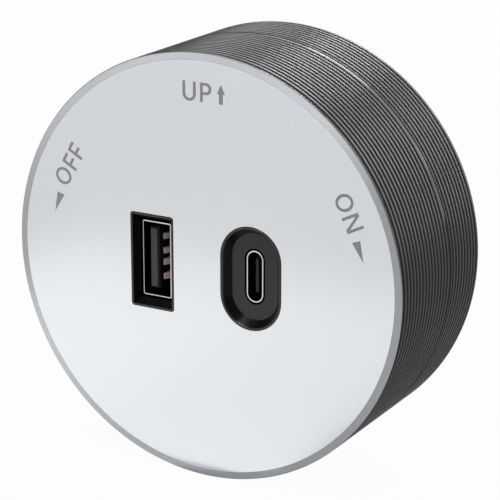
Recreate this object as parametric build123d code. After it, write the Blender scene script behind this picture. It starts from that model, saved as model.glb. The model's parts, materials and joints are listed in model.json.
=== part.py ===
from build123d import *
import math
import os

os.makedirs("parts", exist_ok=True)

# Sizes are in millimetres. The y axis is the turning axis, the seat on the track is the plane
# y = 0, the face looks towards minus y, and plus z is up.

# Body
BODY_RADIUS = 36.0
BODY_DEPTH = 29.3
HOUSING_WALL = 2.6
REAR_EDGE_DROP = 0.2
REAR_EDGE_SLOPE = 0.15

# Grip grooves round the body, counted from the face
GROOVE_START = 0.87
GROOVE_PITCH = 1.13
GROOVE_MOUTH = 0.46
GROOVE_FLOOR = 0.22
GROOVE_DEPTH = 0.35
RIB_CROWN = 0.05
FRONT_GROOVE_COUNT = 15
FRONT_SLOPE = 0.12

# Parting line between the two housings, with a lower band before it
SEAM_BAND_LEAD = 0.2
SEAM_BAND = 0.53
SEAM_BAND_DROP = 0.12
SEAM_GAP = 0.12
REAR_GROOVE_OFFSET = 0.75

# Face disc in its front cover
RIM_WIDTH = 1.22
DISC_THICKNESS = 0.5
DISC_CLEARANCE = 0.03
RIM_FALL = 0.03
RIM_ROUND = 0.12
COVER_EDGE = 0.16
COVER_PLATE = 1.75
COVER_RIM = 0.32
COVER_CLEARANCE = 0.05
CUTOUT_CLEARANCE = 0.05

# Bezels round the two ports
BEZEL_PROUD = 0.06
BEZEL_LIP = 0.35
BEZEL_OUTER_ROUND = 0.15
BEZEL_INNER_ROUND = 0.1
BEZEL_FLANGE = 1.2
BEZEL_FLANGE_SIDE = 1.2
BEZEL_EAR = 2.6
STAKE_RADIUS = 0.6
STAKE_CLEARANCE = 0.05
STAKE_HEAD_RADIUS = 1.0
STAKE_HEAD = 0.5

# Port for the larger plug
A_X = -9.55
A_BEZEL_WIDTH = 8.2
A_BEZEL_HEIGHT = 16.2
A_BEZEL_CORNER = 0.5
A_RIM_DEPTH = 1.5
A_SHELL_WIDTH = 5.7
A_SHELL_HEIGHT = 13.1
A_SHELL_CORNER = 0.4
A_SHELL_WALL = 0.3
A_SHELL_GAP = 0.4
SHELL_OUTER_ROUND = 0.18
SHELL_INNER_ROUND = 0.06
A_LENGTH = 10.7
A_TONGUE_THICKNESS = 1.84
A_TONGUE_HEIGHT = 10.7
A_TONGUE_SETBACK = 0.6
A_TONGUE_CHAMFER = 0.35
A_CONTACT_OUTER = 3.5
A_CONTACT_INNER = 1.0
A_CONTACT_WIDTH = 1.0
A_CONTACT_THICKNESS = 0.25
A_CONTACT_BUMP = 0.75
A_CONTACT_START = 1.4

# Port for the smaller plug
C_X = 9.1
C_BEZEL_WIDTH = 11.2
C_BEZEL_HEIGHT = 17.4
C_FLOOR_DEPTH = 1.4
C_FLOOR_INSET = 1.05
C_RIM_DEPTH = 1.42
C_SHELL_WIDTH = 3.26
C_SHELL_HEIGHT = 8.94
C_SHELL_WALL = 0.33
C_SHELL_GAP = 0.25
C_TONGUE_THICKNESS = 0.54
C_TONGUE_HEIGHT = 6.3
C_TONGUE_SETBACK = 0.78
C_TONGUE_CHAMFER = 0.4
C_CONTACT_COUNT = 12
C_CONTACT_SPACING = 0.5
C_CONTACT_WIDTH = 0.25
C_CONTACT_THICKNESS = 0.08
C_CONTACT_START = 1.2

# Insulators inside both shells
INSULATOR_BASE = 2.0
INSULATOR_CLEARANCE = 0.02

# Circuit boards
BOARD_THICKNESS = 1.6
USB_BOARD_SIDE = 3.5
USB_BOARD_END = 3.4
USB_BOARD_CORNER = 2.0
USB_POST_INSET = 3.0
USB_POST_RADIUS = 2.2
POWER_BOARD_EDGE_GAP = 0.6
POWER_BOARD_BORE_CLEARANCE = 0.6

# Ports' controllers, on the back of their board
CONTROLLER_SIZE = 5.0
CONTROLLER_HEIGHT = 0.9
CONTROLLER_X = 8.0
CONTROLLER_Z = 4.5

# Pins between the boards
PIN_COUNT = 6
PIN_SPACING = 2.0
PIN_SIZE = 0.6
PIN_INSET = 2.3
HEADER_HEIGHT = 2.5
HEADER_WIDTH = 2.4

# Transformer
CORE_WIDTH = 17.0
CORE_DEPTH = 9.0
CORE_YOKE = 2.8
CORE_LEG = 2.4
CORE_POST_RADIUS = 2.8
CORE_WINDOW = 6.6
BOBBIN_BASE_HEIGHT = 2.0
BOBBIN_BASE_DEPTH = 12.0
BOBBIN_WALL = 0.6
WINDING_THICKNESS = 2.2
TRANSFORMER_CLEARANCE = 0.03
TRANSFORMER_INSET = 9.0

# Other parts of the power supply
BULK_CAPACITOR_RADIUS = 4.0
BULK_CAPACITOR_HEIGHT = 14.0
BULK_CAPACITOR_COUNT = 2
OUTPUT_CAPACITOR_RADIUS = 3.15
OUTPUT_CAPACITOR_HEIGHT = 9.0
OUTPUT_CAPACITOR_SPACE = 2.1
OUTPUT_CAPACITOR_INSET = 4.7
CAPACITOR_CRIMP_HEIGHT = 1.6
CAPACITOR_CRIMP_DEPTH = 0.35
FILTER_CAPACITOR_WIDTH = 5.4
FILTER_CAPACITOR_LENGTH = 11.6
FILTER_CAPACITOR_HEIGHT = 11.0
ROW_SPACE = 0.8
ROW_INSET = 10.1
BOX_ROUND = 0.4
CHOKE_RADIUS = 3.3
CHOKE_HEIGHT = 8.0
CHOKE_FLANGE = 1.0
CHOKE_POST_RADIUS = 1.6
CHOKE_INSET = 4.0
CHOKE_ANGLE = 4.5
WINDING_INSET = 0.1
FUSE_LENGTH = 8.0
FUSE_WIDTH = 3.6
FUSE_HEIGHT = 7.0
FUSE_INSET = 5.6
FUSE_ANGLE = 329.0
VARISTOR_RADIUS = 3.5
VARISTOR_THICKNESS = 3.2
VARISTOR_INSET = 6.3
VARISTOR_ANGLE = 212.0
CHIP_LENGTH = 5.0
CHIP_WIDTH = 4.0
CHIP_HEIGHT = 1.6
CHIP_INSET = 10.8
CHIP_ANGLES = [15.0, 140.0, 345.0]

# Chassis cup behind the power board
CUP_FLANGE_SKIN = 1.42
CUP_FLANGE = 1.45
CUP_FLANGE_INSET = 0.1
CUP_CLEARANCE = 0.08
CUP_RUN = 2.0
CUP_WALL = 1.4
CUP_FLOOR = 1.6
CUP_HUB_HEIGHT = 1.6
PAD_RADIUS = 3.0
PAD_HEIGHT = 0.8

# Long screws that hold the cup and the front cover together
COVER_SCREW_INSET = 4.0
COVER_SCREW_COUNT = 4
COVER_SCREW_ANGLE = 45.0
COVER_SCREW_RADIUS = 1.1
COVER_SCREW_HEAD_RADIUS = 2.0
COVER_SCREW_HEAD = 1.2
COVER_SCREW_LENGTH = 9.0
POST_RADIUS = 2.5

# Small screws
SMALL_SCREW_RADIUS = 0.8
SMALL_SCREW_HEAD_RADIUS = 1.6
SMALL_SCREW_HEAD = 1.0
SMALL_SCREW_LENGTH = 4.0
SCREW_CLEARANCE = 0.1
SCREW_SLOT_WIDTH = 0.4
SCREW_SLOT_DEPTH = 0.45
SCREW_HOLE_EXTRA = 0.5

# Rear housing and its bearing
REAR_WALL = 2.6
RECESS_DEPTH = 1.2
RECESS_ROOM = 3.0
BOSS_WALL = 1.84
BOSS_HEIGHT = 1.4
BOSS_GAP = 0.4
SLEEVE_WALL = 2.0
BEARING_CLEARANCE = 0.06
RING_GAP = 0.15
RUN_GAP = 0.08

# Thrust washer and disc spring round the boss
WASHER_CLEARANCE = 0.2
WASHER_WIDTH = 4.4
WASHER_THICKNESS = 0.6
SPRING_THICKNESS = 0.4

# Stop pin, and the quarter turn that its slot allows
TURN_ANGLE = 90.0
STOP_ROOM = 2.0
STOP_ANGLE = 225.0
STOP_RADIUS = 1.0
STOP_CLEARANCE = 0.15
STOP_SEAT = 1.8
STOP_TIP_GAP = 0.3

# Hollow spindle
SPINDLE_RADIUS = 5.5
SPINDLE_BORE_RADIUS = 3.2
SPINDLE_FLANGE_RADIUS = 10.2
SPINDLE_FLANGE = 1.4
SPINDLE_SCREW_COUNT = 3
SPINDLE_SCREW_ANGLE = 30.0
SPINDLE_SCREW_LENGTH = 4.0
RING_GROOVE_DEPTH = 0.5
RING_THICKNESS = 0.8
RING_WIDTH = 2.1
RING_CLEARANCE = 0.03
RING_MOUTH = 5.0

# Track slot, with the lugs and the contact head that go into it
SLOT_WIDTH = 12.0
SLOT_CLEARANCE = 0.2
TRACK_LIP = 3.0
LIP_CLEARANCE = 0.4
LUG_REACH = 4.0
LUG_RING_GAP = 1.0
LUG_ROUND = 0.5
HEAD_LENGTH = 26.0
HEAD_DEPTH = 9.4
HEAD_CORNER = 2.0
HEAD_WALL = 1.6
HEAD_FLOOR = 2.4
HEAD_SOCKET = 1.0
HEAD_CLEARANCE = 0.03
HEAD_SCREW_LENGTH = 4.0
HEAD_SCREW_ANGLE = 35.0
CAP_THICKNESS = 1.6
CAP_LIP = 0.8
CAP_ROUND = 0.6

# Track contacts
CONTACT_WIDTH = 5.0
CONTACT_THICKNESS = 0.6
CONTACT_PROUD = 0.9
CONTACT_FOOT_CLEARANCE = 0.05
CONTACT_NOSE = 1.4
CONTACT_SLOPE = 1.3
WINDOW_CLEARANCE = 0.3
EARTH_LENGTH = 11.0
EARTH_WIDTH = 4.0
EARTH_THICKNESS = 0.5
EARTH_CREST = 4.6
EARTH_RISE = 0.7

# Leads from the contacts to the power board
LEAD_RADIUS = 0.8
LEAD_CIRCLE = 1.75
LEAD_PAD_INSET = 1.7
LEAD_BEND = 1.6
LEAD_CLEARANCE = 0.1
LEAD_ANGLE_LIVE = 330.0
LEAD_ANGLE_NEUTRAL = 210.0
LEAD_ANGLE_EARTH = 45.0

FULL_TURN = 360.0

# Places along the y axis that several pieces share
FACE_Y = -BODY_DEPTH
COVER_FLOOR_Y = FACE_Y + DISC_THICKNESS
COVER_BACK_Y = COVER_FLOOR_Y + COVER_PLATE
HOUSING_FRONT_Y = FACE_Y + COVER_EDGE
BAND_START_Y = FACE_Y + GROOVE_START + FRONT_GROOVE_COUNT * GROOVE_PITCH - SEAM_BAND_LEAD
HOUSING_END_Y = BAND_START_Y + SEAM_BAND
REAR_START_Y = HOUSING_END_Y + SEAM_GAP
REAR_GROOVE_Y = REAR_START_Y + REAR_GROOVE_OFFSET
A_RIM_Y = FACE_Y + A_RIM_DEPTH
C_RIM_Y = FACE_Y + C_RIM_DEPTH
USB_BOARD_FRONT_Y = A_RIM_Y + A_LENGTH
USB_BOARD_BACK_Y = USB_BOARD_FRONT_Y + BOARD_THICKNESS
BEZEL_BACK_Y = COVER_BACK_Y + BEZEL_FLANGE
REAR_WALL_Y = -REAR_WALL
RECESS_Y = -RECESS_DEPTH
BOSS_Y = REAR_WALL_Y - BOSS_HEIGHT
CUP_BACK_Y = BOSS_Y - BOSS_GAP
CUP_FLOOR_Y = CUP_BACK_Y - CUP_FLOOR
POWER_BOARD_BACK_Y = CUP_FLOOR_Y - PAD_HEIGHT
POWER_BOARD_FRONT_Y = POWER_BOARD_BACK_Y - BOARD_THICKNESS
CUP_HUB_Y = CUP_FLOOR_Y - CUP_HUB_HEIGHT
SPINDLE_TOP_Y = CUP_HUB_Y - SPINDLE_FLANGE
HEAD_FRONT_Y = TRACK_LIP + LIP_CLEARANCE
SPINDLE_END_Y = HEAD_FRONT_Y + HEAD_SOCKET
HEAD_FLOOR_Y = HEAD_FRONT_Y + HEAD_FLOOR
HEAD_BACK_Y = HEAD_FRONT_Y + HEAD_DEPTH
CAP_BACK_Y = HEAD_BACK_Y + CAP_THICKNESS
RING_Y = RECESS_Y + RING_GAP

# Radii, widths and spacings that several pieces share
HOUSING_INNER_RADIUS = BODY_RADIUS - HOUSING_WALL
RECESS_EDGE_RADIUS = BODY_RADIUS - RIM_WIDTH
DISC_RADIUS = RECESS_EDGE_RADIUS - DISC_CLEARANCE
COVER_SPIGOT_RADIUS = RECESS_EDGE_RADIUS + COVER_RIM
CUP_FLANGE_BORE = BODY_RADIUS - CUP_FLANGE_SKIN
CUP_FLANGE_RADIUS = CUP_FLANGE_BORE - CUP_CLEARANCE
CUP_RADIUS = HOUSING_INNER_RADIUS - CUP_RUN
CUP_INNER_RADIUS = CUP_RADIUS - CUP_WALL
COVER_SCREW_CIRCLE = CUP_INNER_RADIUS - COVER_SCREW_INSET
POWER_BOARD_RADIUS = CUP_INNER_RADIUS - POWER_BOARD_EDGE_GAP
POWER_BOARD_BORE = SPINDLE_FLANGE_RADIUS + POWER_BOARD_BORE_CLEARANCE
LEAD_PAD_CIRCLE = POWER_BOARD_BORE + LEAD_PAD_INSET
SPINDLE_SCREW_CIRCLE = (SPINDLE_RADIUS + SPINDLE_FLANGE_RADIUS) / 2
SLEEVE_BORE_RADIUS = SPINDLE_RADIUS + BEARING_CLEARANCE
SLEEVE_RADIUS = SLEEVE_BORE_RADIUS + SLEEVE_WALL
BOSS_RADIUS = SLEEVE_RADIUS + BOSS_WALL
RING_OUTER_RADIUS = SPINDLE_RADIUS + RING_WIDTH
RECESS_RADIUS = HEAD_LENGTH / 2 + RECESS_ROOM
STOP_CIRCLE = RECESS_RADIUS + STOP_ROOM
LUG_END = RECESS_RADIUS + LUG_REACH
LUG_WIDTH = SLOT_WIDTH - 2 * SLOT_CLEARANCE
USB_BOARD_LEFT = A_X - A_SHELL_WIDTH / 2 - USB_BOARD_SIDE
USB_BOARD_RIGHT = C_X + C_SHELL_WIDTH / 2 + USB_BOARD_SIDE
USB_BOARD_HEIGHT = A_SHELL_HEIGHT + 2 * USB_BOARD_END
TRANSFORMER_Z = POWER_BOARD_RADIUS - TRANSFORMER_INSET


# Building blocks, drawn face on with x to the right and z up
def slab(sketch, y_front, y_back):
    """A face-on sketch made solid between two depths."""
    return extrude(Plane.XZ.offset(-y_back) * sketch, amount=y_back - y_front)


def disc(radius, y_front, y_back, place=(0.0, 0.0)):
    """A round bar along y."""
    return slab(Pos(*place) * Circle(radius), y_front, y_back)


def block(width, height, y_front, y_back, place=(0.0, 0.0)):
    """A box between two depths."""
    return slab(Pos(*place) * Rectangle(width, height), y_front, y_back)


def ring(outer, inner, y_front, y_back):
    """A plain ring about the turning axis."""
    return disc(outer, y_front, y_back) - disc(inner, y_front, y_back)


def turned(points):
    """A closed outline of radius and y, turned about the y axis."""
    return revolve(make_face(Polyline(*points, close=True)), Axis.Y)


def stadium(width, height):
    """An upright outline with round ends."""
    return SlotOverall(height, width, rotation=90)


def on_circle(radius, angle):
    """A place in x and z at an angle from plus x towards plus z."""
    turn = math.radians(angle)
    return (radius * math.cos(turn), radius * math.sin(turn))


def around(radius, count, start):
    """Even places round the turning axis."""
    return [on_circle(radius, start + FULL_TURN * i / count) for i in range(count)]


def near_edge(inset, angle):
    """A place that far in from the power board's edge."""
    return on_circle(POWER_BOARD_RADIUS - inset, angle)


def screw(place, seat_y, shank_radius, shank_length, head_radius, head_height, towards):
    """A slotted screw under its seat, with its shank running along y in the way of towards."""
    head_y = seat_y - towards * head_height
    tip_y = seat_y + towards * shank_length
    slot_y = head_y + towards * SCREW_SLOT_DEPTH
    head = disc(head_radius, min(seat_y, head_y), max(seat_y, head_y), place)
    shank = disc(shank_radius, min(seat_y, tip_y), max(seat_y, tip_y), place)
    slot = block(2 * head_radius, SCREW_SLOT_WIDTH, min(slot_y, head_y), max(slot_y, head_y), place)
    return head + shank - slot


def small_screw(place, seat_y, length, towards):
    """A small slotted screw."""
    return screw(
        place, seat_y, SMALL_SCREW_RADIUS, length, SMALL_SCREW_HEAD_RADIUS, SMALL_SCREW_HEAD, towards
    )


def rounded_mouth(body, outer_round, inner_round):
    """Round the outer and the inner edges of an opening in the front end."""
    front = body.faces().sort_by(Axis.Y)[0]
    body = fillet(front.outer_wire().edges(), outer_round)
    front = body.faces().sort_by(Axis.Y)[0]
    return fillet(front.inner_wires()[0].edges(), inner_round)


def group(solids):
    """Separate solids of one node."""
    return Part() + solids


# Body
def rib_edges(y_start, y_end):
    """One crowned rib between two grooves."""
    low = BODY_RADIUS - RIB_CROWN
    middle = (y_start + y_end) / 2
    return [ThreePointArc((low, y_start), (BODY_RADIUS, middle), (low, y_end))]


def groove_edges(middle):
    """One groove with sloping sides."""
    low = BODY_RADIUS - RIB_CROWN
    floor = BODY_RADIUS - GROOVE_DEPTH
    mouth = GROOVE_MOUTH / 2
    width = GROOVE_FLOOR / 2
    points = [
        (low, middle - mouth),
        (floor, middle - width),
        (floor, middle + width),
        (low, middle + mouth),
    ]
    return runs(points)


def runs(points):
    """Straight edges from point to point."""
    return [Line(points[i], points[i + 1]) for i in range(len(points) - 1)]


def ribbed_edges(middles):
    """Grooves at these places, with a rib after each but the last."""
    mouth = GROOVE_MOUTH / 2
    edges = []
    for i, middle in enumerate(middles):
        edges += groove_edges(middle)
        if i < len(middles) - 1:
            edges += rib_edges(middle + mouth, middles[i + 1] - mouth)
    return edges


def front_outline(tail):
    """The front housing's section: a sloping front land, the ribs and the low band, then the tail."""
    low = BODY_RADIUS - RIB_CROWN
    mouth = GROOVE_MOUTH / 2
    start = (BODY_RADIUS - FRONT_SLOPE, HOUSING_FRONT_Y)
    middles = [FACE_Y + GROOVE_START + i * GROOVE_PITCH for i in range(FRONT_GROOVE_COUNT)]
    edges = [Line(start, (low, middles[0] - mouth))] + ribbed_edges(middles)
    rib_end_y = BAND_START_Y - SEAM_BAND_DROP
    edges += rib_edges(middles[-1] + mouth, rib_end_y)
    band = BODY_RADIUS - SEAM_BAND_DROP
    points = [(low, rib_end_y), (band, BAND_START_Y), (band, HOUSING_END_Y)]
    return make_face(Wire(edges + runs(points + tail + [start])))


def rear_outline(tail):
    """The rear housing's section: the ribs and a slope down to the rear edge, then the tail."""
    low = BODY_RADIUS - RIB_CROWN
    mouth = GROOVE_MOUTH / 2
    rib = GROOVE_PITCH - GROOVE_MOUTH
    room = -REAR_EDGE_SLOPE - rib - mouth - REAR_GROOVE_Y
    count = int(room / GROOVE_PITCH) + 1
    middles = [REAR_GROOVE_Y + i * GROOVE_PITCH for i in range(count)]
    edges = rib_edges(REAR_START_Y, middles[0] - mouth) + ribbed_edges(middles)
    last_y = middles[-1] + mouth
    edges += rib_edges(last_y, last_y + rib)
    return make_face(Wire(edges + runs([(low, last_y + rib)] + tail + [(low, REAR_START_Y)])))


def face_disc():
    """Thin metal disc glued into the front cover."""
    plate = disc(DISC_RADIUS, FACE_Y, COVER_FLOOR_Y)
    return plate - port_cutouts(FACE_Y, COVER_FLOOR_Y)


def port_cutouts(y_front, y_back):
    """The holes that both bezels pass through."""
    extra = 2 * CUTOUT_CLEARANCE
    a_hole = RectangleRounded(
        A_BEZEL_WIDTH + extra, A_BEZEL_HEIGHT + extra, A_BEZEL_CORNER + CUTOUT_CLEARANCE
    )
    c_hole = stadium(C_BEZEL_WIDTH + extra, C_BEZEL_HEIGHT + extra)
    cut = slab(Pos(A_X, 0) * a_hole, y_front, y_back)
    return cut + slab(Pos(C_X, 0) * c_hole, y_front, y_back)


def stake_places():
    """Where the front cover's stakes hold the bezels."""
    a_z = A_BEZEL_HEIGHT / 2 + BEZEL_EAR / 2
    c_z = C_BEZEL_HEIGHT / 2 + BEZEL_EAR / 2
    return [(A_X, a_z), (A_X, -a_z), (C_X, c_z), (C_X, -c_z)]


def cover_posts():
    """Long hollow posts for the cover screws."""
    posts = []
    pilot_y = POWER_BOARD_FRONT_Y - COVER_SCREW_LENGTH
    for place in around(COVER_SCREW_CIRCLE, COVER_SCREW_COUNT, COVER_SCREW_ANGLE):
        post = disc(POST_RADIUS, COVER_BACK_Y, POWER_BOARD_FRONT_Y, place)
        posts.append(post - disc(COVER_SCREW_RADIUS, pilot_y, POWER_BOARD_FRONT_Y, place))
    return posts


def usb_post_places():
    """Where the ports' board is screwed to the cover, between both bezels."""
    left_x = A_X + A_BEZEL_WIDTH / 2
    right_x = C_X - C_BEZEL_WIDTH / 2
    reach = USB_BOARD_HEIGHT / 2 - USB_POST_INSET
    return [((left_x + right_x) / 2, reach), ((left_x + right_x) / 2, -reach)]


def usb_posts():
    """Short hollow posts for the ports' board."""
    posts = []
    pilot_y = USB_BOARD_FRONT_Y - SMALL_SCREW_LENGTH - SCREW_HOLE_EXTRA
    for place in usb_post_places():
        post = disc(USB_POST_RADIUS, COVER_BACK_Y, USB_BOARD_FRONT_Y, place)
        posts.append(post - disc(SMALL_SCREW_RADIUS, pilot_y, USB_BOARD_FRONT_Y, place))
    return posts


def front_cover():
    """Round cover whose rim shows round the disc, with posts and stakes behind."""
    edge_y = FACE_Y + RIM_FALL
    body = turned(
        [
            (0.0, COVER_FLOOR_Y),
            (RECESS_EDGE_RADIUS, COVER_FLOOR_Y),
            (RECESS_EDGE_RADIUS, FACE_Y),
            (BODY_RADIUS - RIM_ROUND, edge_y),
            (BODY_RADIUS, edge_y + RIM_ROUND),
            (BODY_RADIUS, HOUSING_FRONT_Y),
            (COVER_SPIGOT_RADIUS, HOUSING_FRONT_Y),
            (COVER_SPIGOT_RADIUS, COVER_BACK_Y),
            (0.0, COVER_BACK_Y),
        ]
    )
    body -= port_cutouts(COVER_FLOOR_Y, COVER_BACK_Y)
    for post in cover_posts() + usb_posts():
        body += post
    head_y = BEZEL_BACK_Y + STAKE_HEAD
    for place in stake_places():
        body += disc(STAKE_RADIUS, COVER_BACK_Y, BEZEL_BACK_Y, place)
        body += disc(STAKE_HEAD_RADIUS, BEZEL_BACK_Y, head_y, place)
    return body


def front_housing():
    """Ribbed front shell, clamped between the front cover and the cup's flange."""
    spigot = COVER_SPIGOT_RADIUS + COVER_CLEARANCE
    flange_y = HOUSING_END_Y - CUP_FLANGE_INSET - CUP_FLANGE
    tail = [
        (CUP_FLANGE_BORE, HOUSING_END_Y),
        (CUP_FLANGE_BORE, flange_y),
        (HOUSING_INNER_RADIUS, flange_y),
        (HOUSING_INNER_RADIUS, COVER_BACK_Y),
        (spigot, COVER_BACK_Y),
        (spigot, HOUSING_FRONT_Y),
    ]
    return revolve(front_outline(tail), Axis.Y)


# Ports
def bezel(place_x, outer, mouth, throat, bottom, throat_y, flange):
    """A black surround with sloping walls, a straight bottom opening and a flange behind."""
    front_y = FACE_Y - BEZEL_PROUD
    body = slab(Pos(place_x, 0) * outer, front_y, COVER_BACK_Y)
    body += slab(Pos(place_x, 0) * flange, COVER_BACK_Y, BEZEL_BACK_Y)
    slope = loft(
        [
            Plane.XZ.offset(-front_y) * Pos(place_x, 0) * mouth,
            Plane.XZ.offset(-throat_y) * Pos(place_x, 0) * throat,
        ]
    )
    body -= slope
    body -= slab(Pos(place_x, 0) * bottom, throat_y, BEZEL_BACK_Y)
    return rounded_mouth(body, BEZEL_OUTER_ROUND, BEZEL_INNER_ROUND)


def bezel_with_stake_holes(body, places):
    """Open the flange's ears for the cover's stakes."""
    for place in places:
        body -= disc(STAKE_RADIUS + STAKE_CLEARANCE, COVER_BACK_Y, BEZEL_BACK_Y, place)
    return body


def usb_a_bezel():
    """Rectangular surround with mitred walls."""
    lip = 2 * BEZEL_LIP
    gap = 2 * A_SHELL_GAP
    throat_width = A_SHELL_WIDTH + gap
    throat_height = A_SHELL_HEIGHT + gap
    flange = RectangleRounded(
        A_BEZEL_WIDTH + 2 * BEZEL_FLANGE_SIDE, A_BEZEL_HEIGHT + 2 * BEZEL_EAR, A_BEZEL_CORNER
    )
    body = bezel(
        A_X,
        RectangleRounded(A_BEZEL_WIDTH, A_BEZEL_HEIGHT, A_BEZEL_CORNER),
        Rectangle(A_BEZEL_WIDTH - lip, A_BEZEL_HEIGHT - lip),
        Rectangle(throat_width, throat_height),
        Rectangle(throat_width, throat_height),
        A_RIM_Y,
        flange,
    )
    return bezel_with_stake_holes(body, stake_places()[:2])


def usb_c_bezel():
    """Surround with round ends, sloping walls and a flat floor."""
    lip = 2 * BEZEL_LIP
    inset = 2 * C_FLOOR_INSET
    gap = 2 * C_SHELL_GAP
    mouth_width = C_BEZEL_WIDTH - lip
    mouth_height = C_BEZEL_HEIGHT - lip
    flange = stadium(C_BEZEL_WIDTH + 2 * BEZEL_FLANGE_SIDE, C_BEZEL_HEIGHT + 2 * BEZEL_EAR)
    body = bezel(
        C_X,
        stadium(C_BEZEL_WIDTH, C_BEZEL_HEIGHT),
        stadium(mouth_width, mouth_height),
        stadium(mouth_width - inset, mouth_height - inset),
        stadium(C_SHELL_WIDTH + gap, C_SHELL_HEIGHT + gap),
        FACE_Y + C_FLOOR_DEPTH,
        flange,
    )
    return bezel_with_stake_holes(body, stake_places()[2:])


def usb_a_shell():
    """Folded metal shell of the larger port."""
    wall = 2 * A_SHELL_WALL
    outer = RectangleRounded(A_SHELL_WIDTH, A_SHELL_HEIGHT, A_SHELL_CORNER)
    inner = RectangleRounded(
        A_SHELL_WIDTH - wall, A_SHELL_HEIGHT - wall, A_SHELL_CORNER - A_SHELL_WALL
    )
    body = slab(Pos(A_X, 0) * (outer - inner), A_RIM_Y, USB_BOARD_FRONT_Y)
    return rounded_mouth(body, SHELL_OUTER_ROUND, SHELL_INNER_ROUND)


def usb_a_insulator():
    """Plastic base with the tongue that carries the contacts, off centre in its shell."""
    inset = 2 * (A_SHELL_WALL + INSULATOR_CLEARANCE)
    corner = A_SHELL_CORNER - A_SHELL_WALL
    base_y = USB_BOARD_FRONT_Y - INSULATOR_BASE
    base = RectangleRounded(A_SHELL_WIDTH - inset, A_SHELL_HEIGHT - inset, corner)
    body = slab(Pos(A_X, 0) * base, base_y, USB_BOARD_FRONT_Y)
    tongue_x = A_X - A_TONGUE_THICKNESS / 2
    tongue_y = A_RIM_Y + A_TONGUE_SETBACK
    tongue = block(A_TONGUE_THICKNESS, A_TONGUE_HEIGHT, tongue_y, base_y, (tongue_x, 0.0))
    return body + chamfer(tongue.faces().sort_by(Axis.Y)[0].edges(), A_TONGUE_CHAMFER)


def usb_a_contacts():
    """Four sprung contacts that bulge from the tongue's inner side."""
    start_y = A_RIM_Y + A_TONGUE_SETBACK + A_CONTACT_START
    base_y = USB_BOARD_FRONT_Y - INSULATOR_BASE
    crest_y = start_y + A_CONTACT_WIDTH
    crest_end_y = crest_y + A_CONTACT_THICKNESS
    low_y = crest_end_y + A_CONTACT_WIDTH
    outline = make_face(
        Polyline(
            (A_X, start_y),
            (A_X + A_CONTACT_THICKNESS, start_y),
            (A_X + A_CONTACT_BUMP, crest_y),
            (A_X + A_CONTACT_BUMP, crest_end_y),
            (A_X + A_CONTACT_THICKNESS, low_y),
            (A_X + A_CONTACT_THICKNESS, base_y),
            (A_X, base_y),
            close=True,
        )
    )
    contact = extrude(outline, amount=A_CONTACT_WIDTH / 2, both=True)
    heights = [-A_CONTACT_OUTER, -A_CONTACT_INNER, A_CONTACT_INNER, A_CONTACT_OUTER]
    return group([Pos(0, 0, height) * contact for height in heights])


def usb_c_shell():
    """Seamless metal shell of the smaller port."""
    wall = 2 * C_SHELL_WALL
    outer = stadium(C_SHELL_WIDTH, C_SHELL_HEIGHT)
    inner = stadium(C_SHELL_WIDTH - wall, C_SHELL_HEIGHT - wall)
    body = slab(Pos(C_X, 0) * (outer - inner), C_RIM_Y, USB_BOARD_FRONT_Y)
    return rounded_mouth(body, SHELL_OUTER_ROUND, SHELL_INNER_ROUND)


def usb_c_insulator():
    """Plastic base with the thin tongue in the middle of its shell."""
    inset = 2 * (C_SHELL_WALL + INSULATOR_CLEARANCE)
    base_y = USB_BOARD_FRONT_Y - INSULATOR_BASE
    tongue_y = C_RIM_Y + C_TONGUE_SETBACK
    base = stadium(C_SHELL_WIDTH - inset, C_SHELL_HEIGHT - inset)
    body = slab(Pos(C_X, 0) * base, base_y, USB_BOARD_FRONT_Y)
    tongue = block(C_TONGUE_THICKNESS, C_TONGUE_HEIGHT, tongue_y, base_y, (C_X, 0.0))
    ends = tongue.faces().sort_by(Axis.Y)[0].edges().filter_by(Axis.X)
    return body + chamfer(ends, C_TONGUE_CHAMFER)


def usb_c_contacts():
    """Two rows of flat contacts on the tongue."""
    start_y = C_RIM_Y + C_TONGUE_SETBACK + C_CONTACT_START
    base_y = USB_BOARD_FRONT_Y - INSULATOR_BASE
    reach = (C_TONGUE_THICKNESS + C_CONTACT_THICKNESS) / 2
    middle = (C_CONTACT_COUNT - 1) / 2
    strips = []
    for side in (-1, 1):
        for i in range(C_CONTACT_COUNT):
            place = (C_X + side * reach, (i - middle) * C_CONTACT_SPACING)
            strips.append(block(C_CONTACT_THICKNESS, C_CONTACT_WIDTH, start_y, base_y, place))
    return group(strips)


# Boards and what stands on them
def usb_board():
    """Board that carries both ports."""
    width = USB_BOARD_RIGHT - USB_BOARD_LEFT
    outline = RectangleRounded(width, USB_BOARD_HEIGHT, USB_BOARD_CORNER)
    middle = (USB_BOARD_LEFT + USB_BOARD_RIGHT) / 2
    board = slab(Pos(middle, 0) * outline, USB_BOARD_FRONT_Y, USB_BOARD_BACK_Y)
    for place in usb_post_places():
        hole = SMALL_SCREW_RADIUS + SCREW_CLEARANCE
        board -= disc(hole, USB_BOARD_FRONT_Y, USB_BOARD_BACK_Y, place)
    return board


def usb_board_screws():
    """Two screws from behind into the cover's short posts."""
    length = BOARD_THICKNESS + SMALL_SCREW_LENGTH
    return group([small_screw(place, USB_BOARD_BACK_Y, length, -1) for place in usb_post_places()])


def port_controllers():
    """One charging controller for each port."""
    back_y = USB_BOARD_BACK_Y + CONTROLLER_HEIGHT
    places = [(-CONTROLLER_X, CONTROLLER_Z), (CONTROLLER_X, CONTROLLER_Z)]
    chips = [block(CONTROLLER_SIZE, CONTROLLER_SIZE, USB_BOARD_BACK_Y, back_y, p) for p in places]
    return group(chips)


def pin_places():
    """One column of pins between the boards."""
    middle = (PIN_COUNT - 1) / 2
    return [(USB_BOARD_LEFT + PIN_INSET, (i - middle) * PIN_SPACING) for i in range(PIN_COUNT)]


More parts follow.
